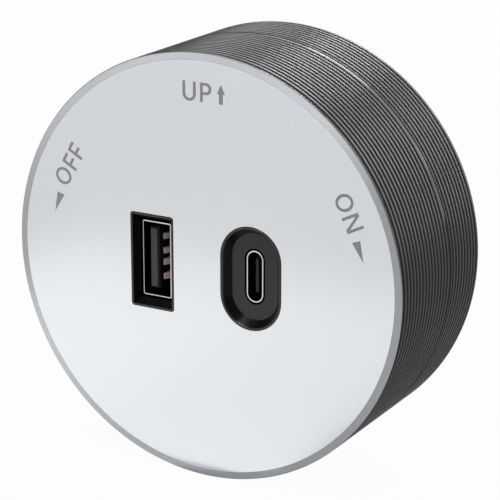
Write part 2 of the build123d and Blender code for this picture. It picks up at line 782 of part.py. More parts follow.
def link_pins():
    """Pins that carry the low voltage forward."""
    pins = [block(PIN_SIZE, PIN_SIZE, USB_BOARD_BACK_Y, POWER_BOARD_FRONT_Y, p) for p in pin_places()]
    return group(pins)


def link_header():
    """Plastic strip that holds the pins."""
    length = PIN_COUNT * PIN_SPACING
    top_y = POWER_BOARD_FRONT_Y - HEADER_HEIGHT
    place = (USB_BOARD_LEFT + PIN_INSET, 0.0)
    strip = block(HEADER_WIDTH, length, top_y, POWER_BOARD_FRONT_Y, place)
    for place in pin_places():
        strip -= block(PIN_SIZE, PIN_SIZE, top_y, POWER_BOARD_FRONT_Y, place)
    return strip


def power_board():
    """Round board with a hole for the spindle's flange."""
    board = disc(POWER_BOARD_RADIUS, POWER_BOARD_FRONT_Y, POWER_BOARD_BACK_Y)
    board -= disc(POWER_BOARD_BORE, POWER_BOARD_FRONT_Y, POWER_BOARD_BACK_Y)
    for place in around(COVER_SCREW_CIRCLE, COVER_SCREW_COUNT, COVER_SCREW_ANGLE):
        hole = COVER_SCREW_RADIUS + SCREW_CLEARANCE
        board -= disc(hole, POWER_BOARD_FRONT_Y, POWER_BOARD_BACK_Y, place)
    return board


def core_back_y():
    """The back of the transformer's core."""
    return POWER_BOARD_FRONT_Y - BOBBIN_BASE_HEIGHT


def transformer_core():
    """Ferrite core with a round middle post."""
    place = (0.0, TRANSFORMER_Z)
    back_y = core_back_y()
    low_y = back_y - CORE_YOKE
    high_y = low_y - CORE_WINDOW
    front_y = high_y - CORE_YOKE
    core = block(CORE_WIDTH, CORE_DEPTH, low_y, back_y, place)
    core += block(CORE_WIDTH, CORE_DEPTH, front_y, high_y, place)
    core += disc(CORE_POST_RADIUS, high_y, low_y, place)
    leg_x = (CORE_WIDTH - CORE_LEG) / 2
    for side in (-1, 1):
        core += block(CORE_LEG, CORE_DEPTH, high_y, low_y, (side * leg_x, TRANSFORMER_Z))
    return core


def bobbin_radii():
    """The bobbin's bore, its drum and its winding's outside."""
    bore = CORE_POST_RADIUS + TRANSFORMER_CLEARANCE
    drum = bore + BOBBIN_WALL
    return bore, drum, drum + WINDING_THICKNESS - BOBBIN_WALL


def transformer_bobbin():
    """Plastic drum round the core's post, on a base that stands on the board."""
    place = (0.0, TRANSFORMER_Z)
    bore, drum, outside = bobbin_radii()
    low_y = core_back_y() - CORE_YOKE
    high_y = low_y - CORE_WINDOW
    body = disc(drum, high_y, low_y, place)
    body += disc(outside, high_y, high_y + BOBBIN_WALL, place)
    body += disc(outside, low_y - BOBBIN_WALL, low_y, place)
    body -= disc(bore, high_y, low_y, place)
    base = block(CORE_WIDTH, BOBBIN_BASE_DEPTH, core_back_y(), POWER_BOARD_FRONT_Y, place)
    return group([body, base])


def transformer_winding():
    """Copper wound on the bobbin."""
    place = (0.0, TRANSFORMER_Z)
    drum, outside = bobbin_radii()[1:]
    low_y = core_back_y() - CORE_YOKE - BOBBIN_WALL
    high_y = core_back_y() - CORE_YOKE - CORE_WINDOW + BOBBIN_WALL
    return disc(outside, high_y, low_y, place) - disc(drum, high_y, low_y, place)


def capacitor(radius, height, place):
    """A round capacitor with a crimped foot, standing on the power board."""
    foot_y = POWER_BOARD_FRONT_Y - CAPACITOR_CRIMP_HEIGHT
    top_y = POWER_BOARD_FRONT_Y - height
    band_y = foot_y - CAPACITOR_CRIMP_DEPTH
    can = disc(radius, top_y, POWER_BOARD_FRONT_Y, place)
    band = disc(radius, band_y, foot_y, place)
    return can - (band - disc(radius - CAPACITOR_CRIMP_DEPTH, band_y, foot_y, place))


def row_places():
    """Places of the bulk capacitors and the filter capacitor, side by side below the spindle."""
    widths = BULK_CAPACITOR_COUNT * [2 * BULK_CAPACITOR_RADIUS] + [FILTER_CAPACITOR_WIDTH]
    x = -(sum(widths) + ROW_SPACE * (len(widths) - 1)) / 2
    places = []
    for width in widths:
        places.append((x + width / 2, ROW_INSET - POWER_BOARD_RADIUS))
        x += width + ROW_SPACE
    return places


def bulk_capacitors():
    """High voltage capacitors."""
    places = row_places()[:BULK_CAPACITOR_COUNT]
    return group([capacitor(BULK_CAPACITOR_RADIUS, BULK_CAPACITOR_HEIGHT, p) for p in places])


def output_capacitors():
    """Low voltage capacitors."""
    x = OUTPUT_CAPACITOR_INSET - POWER_BOARD_RADIUS
    z = OUTPUT_CAPACITOR_RADIUS + OUTPUT_CAPACITOR_SPACE / 2
    places = [(x, z), (x, -z)]
    return group([capacitor(OUTPUT_CAPACITOR_RADIUS, OUTPUT_CAPACITOR_HEIGHT, p) for p in places])


def rounded_box(width, length, height, place):
    """A moulded box that stands on the power board."""
    top_y = POWER_BOARD_FRONT_Y - height
    outline = RectangleRounded(width, length, BOX_ROUND)
    return slab(Pos(*place) * outline, top_y, POWER_BOARD_FRONT_Y)


def filter_capacitor():
    """Film capacitor across the mains input."""
    return rounded_box(
        FILTER_CAPACITOR_WIDTH, FILTER_CAPACITOR_LENGTH, FILTER_CAPACITOR_HEIGHT, row_places()[-1]
    )


def fuse():
    """Boxed fuse in the live line."""
    return rounded_box(FUSE_LENGTH, FUSE_WIDTH, FUSE_HEIGHT, near_edge(FUSE_INSET, FUSE_ANGLE))


def varistor():
    """Round surge absorber on edge."""
    x, z = near_edge(VARISTOR_INSET, VARISTOR_ANGLE)
    middle_y = POWER_BOARD_FRONT_Y - VARISTOR_RADIUS
    coin = Cylinder(VARISTOR_RADIUS, VARISTOR_THICKNESS)
    return Pos(x, middle_y, z) * coin


def choke_core():
    """Ferrite drum with two flanges."""
    place = near_edge(CHOKE_INSET, CHOKE_ANGLE)
    top_y = POWER_BOARD_FRONT_Y - CHOKE_HEIGHT
    drum = disc(CHOKE_RADIUS, top_y, top_y + CHOKE_FLANGE, place)
    drum += disc(CHOKE_RADIUS, POWER_BOARD_FRONT_Y - CHOKE_FLANGE, POWER_BOARD_FRONT_Y, place)
    return drum + disc(CHOKE_POST_RADIUS, top_y, POWER_BOARD_FRONT_Y, place)


def choke_winding():
    """Copper between the choke's flanges."""
    place = near_edge(CHOKE_INSET, CHOKE_ANGLE)
    high_y = POWER_BOARD_FRONT_Y - CHOKE_HEIGHT + CHOKE_FLANGE
    low_y = POWER_BOARD_FRONT_Y - CHOKE_FLANGE
    coil = disc(CHOKE_RADIUS - WINDING_INSET, high_y, low_y, place)
    return coil - disc(CHOKE_POST_RADIUS, high_y, low_y, place)


def power_chips():
    """Rectifier bridge, switch and output rectifier."""
    top_y = POWER_BOARD_FRONT_Y - CHIP_HEIGHT
    places = [near_edge(CHIP_INSET, angle) for angle in CHIP_ANGLES]
    return group([block(CHIP_LENGTH, CHIP_WIDTH, top_y, POWER_BOARD_FRONT_Y, p) for p in places])


# Chassis cup, its screws and the spindle
def stop_slot():
    """The quarter turn slot that the stop pin runs in."""
    half = STOP_RADIUS + STOP_CLEARANCE
    slot = disc(STOP_CIRCLE + half, CUP_FLOOR_Y, CUP_BACK_Y)
    slot -= disc(STOP_CIRCLE - half, CUP_FLOOR_Y, CUP_BACK_Y)
    start = on_circle(2 * STOP_CIRCLE, STOP_ANGLE)
    middle = on_circle(2 * STOP_CIRCLE, STOP_ANGLE + TURN_ANGLE / 2)
    end = on_circle(2 * STOP_CIRCLE, STOP_ANGLE + TURN_ANGLE)
    sector = make_face(Polyline((0.0, 0.0), start, middle, end, close=True))
    slot &= slab(sector, CUP_FLOOR_Y, CUP_BACK_Y)
    for angle in (STOP_ANGLE, STOP_ANGLE + TURN_ANGLE):
        slot += disc(half, CUP_FLOOR_Y, CUP_BACK_Y, on_circle(STOP_CIRCLE, angle))
    return slot


def chassis_cup():
    """Cup that closes the electronics and turns inside the rear housing."""
    flange_back_y = HOUSING_END_Y - CUP_FLANGE_INSET
    flange_front_y = flange_back_y - CUP_FLANGE
    bore = SPINDLE_RADIUS + HEAD_CLEARANCE
    cup = turned(
        [
            (bore, CUP_HUB_Y),
            (SPINDLE_FLANGE_RADIUS, CUP_HUB_Y),
            (SPINDLE_FLANGE_RADIUS, CUP_FLOOR_Y),
            (CUP_INNER_RADIUS, CUP_FLOOR_Y),
            (CUP_INNER_RADIUS, flange_front_y),
            (CUP_FLANGE_RADIUS, flange_front_y),
            (CUP_FLANGE_RADIUS, flange_back_y),
            (CUP_RADIUS, flange_back_y),
            (CUP_RADIUS, CUP_BACK_Y),
            (bore, CUP_BACK_Y),
        ]
    )
    cup -= stop_slot()
    head = COVER_SCREW_HEAD_RADIUS + SCREW_CLEARANCE
    for place in around(COVER_SCREW_CIRCLE, COVER_SCREW_COUNT, COVER_SCREW_ANGLE):
        cup += disc(PAD_RADIUS, POWER_BOARD_BACK_Y, CUP_FLOOR_Y, place)
        cup -= disc(COVER_SCREW_RADIUS + SCREW_CLEARANCE, POWER_BOARD_BACK_Y, CUP_BACK_Y, place)
        cup -= disc(head, CUP_BACK_Y - COVER_SCREW_HEAD, CUP_BACK_Y, place)
    for place in around(SPINDLE_SCREW_CIRCLE, SPINDLE_SCREW_COUNT, SPINDLE_SCREW_ANGLE):
        cup -= disc(SMALL_SCREW_RADIUS, CUP_HUB_Y, CUP_BACK_Y, place)
    return cup


def cover_screws():
    """Screws from behind the cup, through the board, into the cover's posts."""
    seat_y = CUP_BACK_Y - COVER_SCREW_HEAD
    screws = []
    for place in around(COVER_SCREW_CIRCLE, COVER_SCREW_COUNT, COVER_SCREW_ANGLE):
        screws.append(
            screw(
                place,
                seat_y,
                COVER_SCREW_RADIUS,
                COVER_SCREW_LENGTH,
                COVER_SCREW_HEAD_RADIUS,
                COVER_SCREW_HEAD,
                -1,
            )
        )
    return group(screws)


def contact_spindle():
    """Hollow spindle with a flange in front and a groove for its retaining ring."""
    groove = SPINDLE_RADIUS - RING_GROOVE_DEPTH
    spindle = turned(
        [
            (SPINDLE_BORE_RADIUS, SPINDLE_TOP_Y),
            (SPINDLE_FLANGE_RADIUS, SPINDLE_TOP_Y),
            (SPINDLE_FLANGE_RADIUS, CUP_HUB_Y),
            (SPINDLE_RADIUS, CUP_HUB_Y),
            (SPINDLE_RADIUS, RING_Y),
            (groove, RING_Y),
            (groove, RING_Y + RING_THICKNESS),
            (SPINDLE_RADIUS, RING_Y + RING_THICKNESS),
            (SPINDLE_RADIUS, SPINDLE_END_Y),
            (SPINDLE_BORE_RADIUS, SPINDLE_END_Y),
        ]
    )
    for place in around(SPINDLE_SCREW_CIRCLE, SPINDLE_SCREW_COUNT, SPINDLE_SCREW_ANGLE):
        spindle -= disc(SMALL_SCREW_RADIUS + SCREW_CLEARANCE, SPINDLE_TOP_Y, CUP_HUB_Y, place)
    tip_y = HEAD_FLOOR_Y - HEAD_SCREW_LENGTH
    for place in head_screw_places():
        spindle -= disc(SMALL_SCREW_RADIUS, tip_y, SPINDLE_END_Y, place)
    return spindle


def spindle_screws():
    """Screws from the spindle's flange into the cup's hub."""
    places = around(SPINDLE_SCREW_CIRCLE, SPINDLE_SCREW_COUNT, SPINDLE_SCREW_ANGLE)
    return group([small_screw(p, SPINDLE_TOP_Y, SPINDLE_SCREW_LENGTH, 1) for p in places])


def retaining_ring():
    """Open ring sprung into the spindle's groove behind the rear housing."""
    groove = SPINDLE_RADIUS - RING_GROOVE_DEPTH
    back_y = RING_Y + RING_THICKNESS
    body = ring(RING_OUTER_RADIUS, groove + RING_CLEARANCE, RING_Y, back_y)
    mouth = block(RING_MOUTH, RING_OUTER_RADIUS, RING_Y, back_y, (0.0, RING_OUTER_RADIUS / 2))
    return body - mouth


# Rear housing and what stands still with it
def lug(side):
    """A lug that keys the rear housing in the track's slot."""
    inner = RING_OUTER_RADIUS + LUG_RING_GAP
    length = LUG_END - inner / 2
    body = block(length, LUG_WIDTH, RECESS_Y, TRACK_LIP, (side * (LUG_END - length / 2), 0.0))
    body -= disc(inner, RECESS_Y, TRACK_LIP)
    return chamfer(body.faces().sort_by(Axis.Y)[-1].edges(), LUG_ROUND)


def rear_housing():
    """Ribbed rear shell with the seat, the bearing boss and the slot lugs."""
    tail = [
        (BODY_RADIUS - REAR_EDGE_DROP, 0.0),
        (RECESS_RADIUS, 0.0),
        (RECESS_RADIUS, RECESS_Y),
        (SLEEVE_RADIUS, RECESS_Y),
        (SLEEVE_RADIUS, BOSS_Y),
        (BOSS_RADIUS, BOSS_Y),
        (BOSS_RADIUS, REAR_WALL_Y),
        (HOUSING_INNER_RADIUS, REAR_WALL_Y),
        (HOUSING_INNER_RADIUS, REAR_START_Y),
    ]
    body = revolve(rear_outline(tail), Axis.Y)
    for side in (-1, 1):
        body += lug(side)
    pin_place = on_circle(STOP_CIRCLE, STOP_ANGLE)
    return body - disc(STOP_RADIUS, REAR_WALL_Y, REAR_WALL_Y + STOP_SEAT, pin_place)


def bearing_sleeve():
    """Plain bearing that the spindle turns in."""
    return ring(SLEEVE_RADIUS, SLEEVE_BORE_RADIUS, BOSS_Y, RECESS_Y)


def washer_radii():
    """Inner and outer radius of what lies round the boss."""
    inner = BOSS_RADIUS + WASHER_CLEARANCE
    return inner, inner + WASHER_WIDTH


def thrust_washer():
    """Slippery washer on the rear wall."""
    inner, outer = washer_radii()
    return ring(outer, inner, REAR_WALL_Y - WASHER_THICKNESS, REAR_WALL_Y)


def disc_spring():
    """Coned spring that loads the turning unit."""
    inner, outer = washer_radii()
    low_y = REAR_WALL_Y - WASHER_THICKNESS
    high_y = CUP_BACK_Y + RUN_GAP
    return turned(
        [
            (outer, low_y),
            (outer, low_y - SPRING_THICKNESS),
            (inner, high_y),
            (inner, high_y + SPRING_THICKNESS),
        ]
    )


def stop_pin():
    """Steel pin pressed into the rear wall."""
    tip_y = CUP_FLOOR_Y + STOP_TIP_GAP
    return disc(STOP_RADIUS, tip_y, REAR_WALL_Y + STOP_SEAT, on_circle(STOP_CIRCLE, STOP_ANGLE))


# Contact head
def head_screw_places():
    """Where the head is screwed to the spindle's end wall."""
    middle = (SPINDLE_RADIUS + SPINDLE_BORE_RADIUS) / 2
    return around(middle, 2, HEAD_SCREW_ANGLE)


def contact_nose_y():
    """The middle of the live and neutral contacts' noses."""
    return (HEAD_FLOOR_Y + HEAD_BACK_Y) / 2


def contact_head():
    """Insulating head that goes through the slot and turns behind its lips."""
    outline = RectangleRounded(HEAD_LENGTH, LUG_WIDTH, HEAD_CORNER)
    body = slab(outline, HEAD_FRONT_Y, HEAD_BACK_Y)
    inside_length = HEAD_LENGTH - 2 * HEAD_WALL
    inside_width = LUG_WIDTH - 2 * HEAD_WALL
    body -= block(inside_length, inside_width, HEAD_FLOOR_Y, HEAD_BACK_Y)
    body -= disc(SPINDLE_RADIUS + HEAD_CLEARANCE, HEAD_FRONT_Y, SPINDLE_END_Y)
    body -= disc(SPINDLE_BORE_RADIUS, SPINDLE_END_Y, HEAD_FLOOR_Y)
    reach = CONTACT_NOSE / 2 + CONTACT_SLOPE + WINDOW_CLEARANCE
    window = block(
        HEAD_LENGTH,
        CONTACT_WIDTH + 2 * WINDOW_CLEARANCE,
        contact_nose_y() - reach,
        contact_nose_y() + reach,
    )
    body -= window
    for place in head_screw_places():
        body -= disc(SMALL_SCREW_RADIUS + SCREW_CLEARANCE, SPINDLE_END_Y, HEAD_FLOOR_Y, place)
    return body


def head_screws():
    """Screws from inside the head into the spindle."""
    places = head_screw_places()
    return group([small_screw(place, HEAD_FLOOR_Y, HEAD_SCREW_LENGTH, -1) for place in places])


def head_cap():
    """Cap with a lip that snaps into the head."""
    outline = RectangleRounded(HEAD_LENGTH, LUG_WIDTH, HEAD_CORNER)
    plate = slab(outline, HEAD_BACK_Y, CAP_BACK_Y)
    plate = chamfer(plate.faces().sort_by(Axis.Y)[-1].edges(), CAP_ROUND)
    inset = 2 * (HEAD_WALL + HEAD_CLEARANCE)
    plate += block(HEAD_LENGTH - inset, LUG_WIDTH - inset, HEAD_BACK_Y - CAP_LIP, HEAD_BACK_Y)
    hole = on_circle(LEAD_CIRCLE, LEAD_ANGLE_EARTH)
    return plate - disc(LEAD_RADIUS + LEAD_CLEARANCE, HEAD_BACK_Y - CAP_LIP, CAP_BACK_Y, hole)


def track_contact(side):
    """Sprung strip whose nose stands out of the head's end window."""
    half = CONTACT_THICKNESS / 2
    lead_x = LEAD_CIRCLE * math.cos(math.radians(LEAD_ANGLE_LIVE))
    foot_x = lead_x + LEAD_RADIUS + CONTACT_FOOT_CLEARANCE
    wall_x = HEAD_LENGTH / 2 - HEAD_WALL - half
    nose_x = HEAD_LENGTH / 2 + CONTACT_PROUD - half
    nose_y = contact_nose_y()
    near_y = nose_y - CONTACT_NOSE / 2
    far_y = nose_y + CONTACT_NOSE / 2
    foot_y = HEAD_FLOOR_Y + half
    points = [
        (side * foot_x, foot_y),
        (side * wall_x, foot_y),
        (side * wall_x, near_y - CONTACT_SLOPE + half),
        (side * nose_x, near_y),
        (side * nose_x, far_y),
        (side * wall_x, far_y + CONTACT_SLOPE - half),
    ]
    outline = trace(Polyline(*points), line_width=CONTACT_THICKNESS)
    strip = extrude(outline, amount=CONTACT_WIDTH / 2, both=True)
    notch = SMALL_SCREW_HEAD_RADIUS + SCREW_CLEARANCE
    for place in head_screw_places():
        strip -= disc(notch, HEAD_FLOOR_Y, HEAD_FLOOR_Y + SMALL_SCREW_HEAD, place)
    return strip


def live_contact():
    """Contact for the live rail."""
    return track_contact(1)


def neutral_contact():
    """Contact for the neutral rail."""
    return track_contact(-1)


def earth_contact():
    """Bowed strip on the cap for the rail at the bottom of the track."""
    half = EARTH_THICKNESS / 2
    foot_y = CAP_BACK_Y + half
    crest_y = foot_y + EARTH_RISE
    knee = EARTH_CREST / 2 + EARTH_RISE
    points = [
        (-EARTH_LENGTH / 2, foot_y),
        (-knee, foot_y),
        (-EARTH_CREST / 2, crest_y),
        (EARTH_CREST / 2, crest_y),
        (knee, foot_y),
        (EARTH_LENGTH / 2, foot_y),
    ]
    outline = trace(Polyline(*points), line_width=EARTH_THICKNESS)
    return extrude(outline, amount=EARTH_WIDTH / 2, both=True)


def lead(angle, end_y):
    """Insulated wire through the spindle, bent over to a pad on the power board."""
    loop_y = (USB_BOARD_BACK_Y + SPINDLE_TOP_Y - SMALL_SCREW_HEAD) / 2
    points = []
    for radius, y in [
        (LEAD_CIRCLE, end_y),
        (LEAD_CIRCLE, loop_y),
        (LEAD_PAD_CIRCLE, loop_y),
        (LEAD_PAD_CIRCLE, POWER_BOARD_FRONT_Y),
    ]:
        x, z = on_circle(radius, angle)
        points.append((x, y, z))
    path = FilletPolyline(*points, radius=LEAD_BEND)
    start = Plane(origin=path @ 0, z_dir=path % 0)
    return sweep(start * Circle(LEAD_RADIUS), path=path)


def live_lead():
    """Wire to the live contact."""
    return lead(LEAD_ANGLE_LIVE, HEAD_FLOOR_Y + CONTACT_THICKNESS)


def neutral_lead():
    """Wire to the neutral contact."""
    return lead(LEAD_ANGLE_NEUTRAL, HEAD_FLOOR_Y + CONTACT_THICKNESS)


def earth_lead():
    """Wire to the earth contact."""
    return lead(LEAD_ANGLE_EARTH, CAP_BACK_Y + EARTH_RISE)


PIECES = [
    face_disc,
    front_cover,
    front_housing,
    usb_a_bezel,
    usb_a_shell,
    usb_a_insulator,
    usb_a_contacts,
    usb_c_bezel,
    usb_c_shell,
    usb_c_insulator,
    usb_c_contacts,
    usb_board,
    usb_board_screws,
    port_controllers,
    link_pins,
    link_header,
    power_board,
    transformer_core,
    transformer_bobbin,
    transformer_winding,
    bulk_capacitors,
    output_capacitors,
    filter_capacitor,
    fuse,
    varistor,
    choke_core,
    choke_winding,
    power_chips,
    chassis_cup,
    cover_screws,
    contact_spindle,
    spindle_screws,
    retaining_ring,
    contact_head,
    head_screws,
    head_cap,
    live_contact,
    neutral_contact,
    earth_contact,
    live_lead,
    neutral_lead,
    earth_lead,
    rear_housing,
    bearing_sleeve,
    thrust_washer,
    disc_spring,
    stop_pin,
]

for piece in PIECES:
    export_step(piece(), f"parts/{piece.__name__}.step")
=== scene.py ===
import json
import math
import bpy
from mathutils import Matrix, Vector


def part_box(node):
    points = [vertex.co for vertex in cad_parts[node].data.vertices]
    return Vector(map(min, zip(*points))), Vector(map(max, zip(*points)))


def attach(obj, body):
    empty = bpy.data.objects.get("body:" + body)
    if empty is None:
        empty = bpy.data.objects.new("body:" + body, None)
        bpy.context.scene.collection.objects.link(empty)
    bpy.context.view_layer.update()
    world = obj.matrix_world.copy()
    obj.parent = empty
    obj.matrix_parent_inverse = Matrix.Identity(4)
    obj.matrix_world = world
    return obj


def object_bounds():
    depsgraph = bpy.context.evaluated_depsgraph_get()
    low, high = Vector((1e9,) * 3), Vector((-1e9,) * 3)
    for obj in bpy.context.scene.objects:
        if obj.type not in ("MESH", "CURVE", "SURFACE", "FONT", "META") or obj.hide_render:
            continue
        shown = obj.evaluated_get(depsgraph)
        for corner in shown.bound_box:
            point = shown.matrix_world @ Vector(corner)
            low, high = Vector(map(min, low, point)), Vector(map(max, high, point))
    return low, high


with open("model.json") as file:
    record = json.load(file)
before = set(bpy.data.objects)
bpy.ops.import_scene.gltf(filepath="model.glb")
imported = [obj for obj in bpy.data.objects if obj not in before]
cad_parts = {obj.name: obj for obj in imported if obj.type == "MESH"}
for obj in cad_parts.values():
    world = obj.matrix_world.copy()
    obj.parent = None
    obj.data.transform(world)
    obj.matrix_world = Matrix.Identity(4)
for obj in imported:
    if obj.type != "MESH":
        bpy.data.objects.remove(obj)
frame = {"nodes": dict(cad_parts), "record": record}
nodes = frame["nodes"]
cad_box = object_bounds()
MM = 0.001
X, Y, Z = range(3)


# Sums on shader sockets
class Value:
    """A number socket that takes part in Python sums."""

    def __init__(self, finish, socket):
        self.finish = finish
        self.socket = socket

    def maths(self, operation, *others):
        """A Math node on this number and others."""
        sockets = dict(enumerate([self.socket, *others]))
        made = self.finish.node("Math", {"operation": operation}, sockets)
        return Value(self.finish, made.outputs[0])

    def __add__(self, other):
        return self.maths("ADD", other)

    __radd__ = __add__

    def __mul__(self, other):
        return self.maths("MULTIPLY", other)

    __rmul__ = __mul__

    def __sub__(self, other):
        return self.maths("SUBTRACT", other)

    def __rsub__(self, other):
        return self * -1.0 + other

    def clamped(self):
        return self.maths("MAXIMUM", 0.0).maths("MINIMUM", 1.0)


class Finish:
    """The nodes of one procedural material, or of the world."""

    # The colour sockets of a Mix node
    FACTOR, FIRST, SECOND = 0, 6, 7
    RESULT = 2

    def __init__(self, name, owners=bpy.data.materials):
        self.name = name
        self.block = owners.new(name)
        self.block.use_nodes = True
        self.tree = self.block.node_tree
        self.tree.nodes.clear()
        self.place = self.node("TexCoord").outputs["Object"]

    def node(self, kind, settings=None, sockets=None):
        """Add a node: its type, its settings, then the values or links of its sockets."""
        made = self.tree.nodes.new("ShaderNode" + kind)
        for key, value in (settings or {}).items():
            setattr(made, key, value)
        for key, value in (sockets or {}).items():
            source = value.socket if isinstance(value, Value) else value
            if isinstance(source, bpy.types.NodeSocket):
                self.tree.links.new(source, made.inputs[key])
            else:
                made.inputs[key].default_value = source
        return made

    def noise(self, grains, detail=2.0, roughness=0.5):
        """Noise of that many grains a metre, from 0 to 1."""
        sockets = {
            "Vector": self.place,
            "Scale": grains,
            "Detail": detail,
            "Roughness": roughness,
        }
        return Value(self, self.node("TexNoise", None, sockets).outputs[0])

    def axis(self, index):
        """The place along x, y or z, in metres."""
        made = self.node("SeparateXYZ", None, {0: self.place})
        return Value(self, made.outputs[index])

    def radius(self):
        """The distance from the turning axis, in metres."""
        flattened = {0: self.place, 1: (1, 0, 1)}
        flat = self.node("VectorMath", {"operation": "MULTIPLY"}, flattened)
        made = self.node("VectorMath", {"operation": "LENGTH"}, {0: flat.outputs[0]})
        return Value(self, made.outputs["Value"])

    def blend(self, factor, first, second):
        """A colour between two others."""
        made = self.node(
            "Mix",
            {"data_type": "RGBA", "clamp_factor": True},
            {self.FACTOR: factor, self.FIRST: colour(first), self.SECOND: colour(second)},
        )
        return made.outputs[self.RESULT]

    def bump(self, height, distance, strength=1.0):
        """A normal from a height, whose 1 stands for a distance in metres."""
        sockets = {"Height": height, "Distance": distance, "Strength": strength}
        return self.node("Bump", None, sockets).outputs[0]

    def shader(self, sockets):
        """Add a main shader."""
        return self.node("BsdfPrincipled", None, sockets)

    def close(self, shader, kind="Material"):
        """Finish with one shader."""
        self.node("Output" + kind, {"is_active_output": True}, {"Surface": shader.outputs[0]})
        return self

    def close_mixed(self, share, first, second):
        """Finish with two shaders, the second by its share."""
        sockets = {0: share, 1: first.outputs[0], 2: second.outputs[0]}
        return self.close(self.node("MixShader", None, sockets))


def colour(value):
    """A colour with its alpha, or the socket as it is."""
    if isinstance(value, tuple) and len(value) == 3:
        return (*value, 1.0)
    return value


def grey(level):
    """A neutral colour."""
    return (level, level, level)


def shaded(shade, share, lift=0.0):
    """A colour times a share, with a lift that also shows on black."""
    return tuple(min(1.0, c * share + lift) for c in shade)


def together(first, second, share):
    """Two noises as one, the first by its share."""
    return first * share + second * (1 - share)


def uneven(middle, *noises):
    """A number about its middle, which each noise moves by its spread."""
    moves = [(noise - 0.5) * spread for noise, spread in noises]
    return sum(moves[1:], moves[0]) + middle


def fade(number, start, length):
    """From 0 where a number is at its start to 1 a length on, both in millimetres.

    A length below 0 runs the other way.
    """
    return ((number - start * MM) * (1.0 / (length * MM))).clamped()


# Materials. Lengths are in millimetres and angles in degrees
RIM_FALL = 17.0
RIM_GRAIN = 0.008
BAND_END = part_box("front_housing")[1][Y] / MM
A_SHELL_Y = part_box("usb_a_shell")[0][Y] / MM
C_SHELL_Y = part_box("usb_c_shell")[0][Y] / MM
TONGUE_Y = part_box("usb_a_insulator")[0][Y] / MM
CONTACT_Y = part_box("usb_a_contacts")[0][Y] / MM
GOLD_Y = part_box("usb_c_contacts")[0][Y] / MM
BAND_WIDTH = 0.65
BAND_EDGE = 0.03
# Where painted shade begins in the bezel walls, shells, tongue and contacts, and how far it takes
# to fade in
WALL_START = 0.14
WALL_FADE = 0.06
SHELL_LIP = 0.005
SHELL_FADE = 0.03
TONGUE_LIT = 0.02
CONTACT_LIT = 3.4
WEAVE_TURNS = 7000.0  # radians a metre
WIRE_PITCH = 0.25
# The black and the roughness that the painted shade reaches deep in a port
PAINTED_SHADE_BLACK = grey(0.003)
DEEP_ROUGHNESS = 0.4
BLACK_LIFT = 0.004


def moulded(name, shade, roughness, grains, depth, worn=0.12):
    """Moulded plastic with a fine spark texture and slightly uneven gloss."""
    f = Finish(name)
    fine = f.noise(grains, detail=3.0, roughness=0.6)
    broad = f.noise(90.0)
    darker = shaded(shade, 1 - worn)
    lighter = shaded(shade, 1 + worn, BLACK_LIFT)
    return f.close(
        f.shader(
            {
                "Base Color": f.blend(together(broad, fine, 0.5), darker, lighter),
                "Roughness": uneven(roughness, (broad, 0.10), (fine, 0.08)),
                "Normal": f.bump(fine, depth * MM),
            }
        )
    )


def metal(name, shade, roughness, grains, depth):
    """Bare metal with a fine even grain."""
    f = Finish(name)
    fine = f.noise(grains, detail=3.0, roughness=0.6)
    broad = f.noise(120.0)
    darker = shaded(shade, 0.90)
    lighter = shaded(shade, 1.05)
    return f.close(
        f.shader(
            {
                "Base Color": f.blend(together(broad, fine, 0.5), darker, lighter),
                "Metallic": 1.0,
                "Roughness": uneven(roughness, (fine, 0.14), (broad, 0.06)),
                "Normal": f.bump(fine, depth * MM),
            }
        )
    )


def face_silver():
    """Satin anodised disc, fine blasted, with a faint cast across it."""
    f = Finish("face_silver")
    grain = f.noise(5200.0)
    cloud = f.noise(22.0)
    darker = (0.757, 0.778, 0.802)
    lighter = (0.797, 0.818, 0.842)
    return f.close(
        f.shader(
            {
                "Base Color": f.blend(together(cloud, grain, 0.6), darker, lighter),
                "Metallic": 0.85,
                "Roughness": uneven(0.22, (grain, 0.06)),
                "Normal": f.bump(grain, 0.004 * MM, strength=0.5),
            }
        )
    )


def rim_silver():
    """Bead blasted silver paint, on a rim that falls away outwards."""
    f = Finish("rim_silver")
    grain = f.noise(3800.0, detail=3.0, roughness=0.7)
    speck = f.noise(9000.0, detail=1.0)
    darker = (0.47, 0.49, 0.52)
    lighter = (0.62, 0.64, 0.67)
    fall = f.radius() * -math.tan(math.radians(RIM_FALL))
    return f.close(
        f.shader(
            {
                "Base Color": f.blend(together(grain, speck, 0.6), darker, lighter),
                "Metallic": 1.0,
                "Roughness": uneven(0.36, (grain, 0.16)),
                "Normal": f.bump(fall + grain * (RIM_GRAIN * MM), 1.0),
            }
        )
    )


def grip_black():
    """Dark satin moulding with a fine grain, and a glossier low band along the parting line."""
    f = Finish("grip_black")
    fine = f.noise(2400.0)
    broad = f.noise(70.0)
    satin = f.shader(
        {
            "Base Color": f.blend(together(broad, fine, 0.6), grey(0.040), (0.050, 0.050, 0.049)),
            "Specular IOR Level": 0.2,
            "Roughness": uneven(0.33, (fine, 0.04), (broad, 0.04)),
            "Normal": f.bump(fine, 0.001 * MM, strength=0.5),
        }
    )
    gloss = f.shader(
        {
            "Base Color": f.blend(fine, grey(0.014), grey(0.018)),
            "Specular IOR Level": 0.06,
            "Roughness": uneven(0.15, (fine, 0.04)),
        }
    )
    half = BAND_WIDTH / 2
    from_middle = (f.axis(Y) - (BAND_END - half) * MM).maths("ABSOLUTE")
    return f.close_mixed(fade(from_middle, half + BAND_EDGE, -BAND_EDGE), satin, gloss)


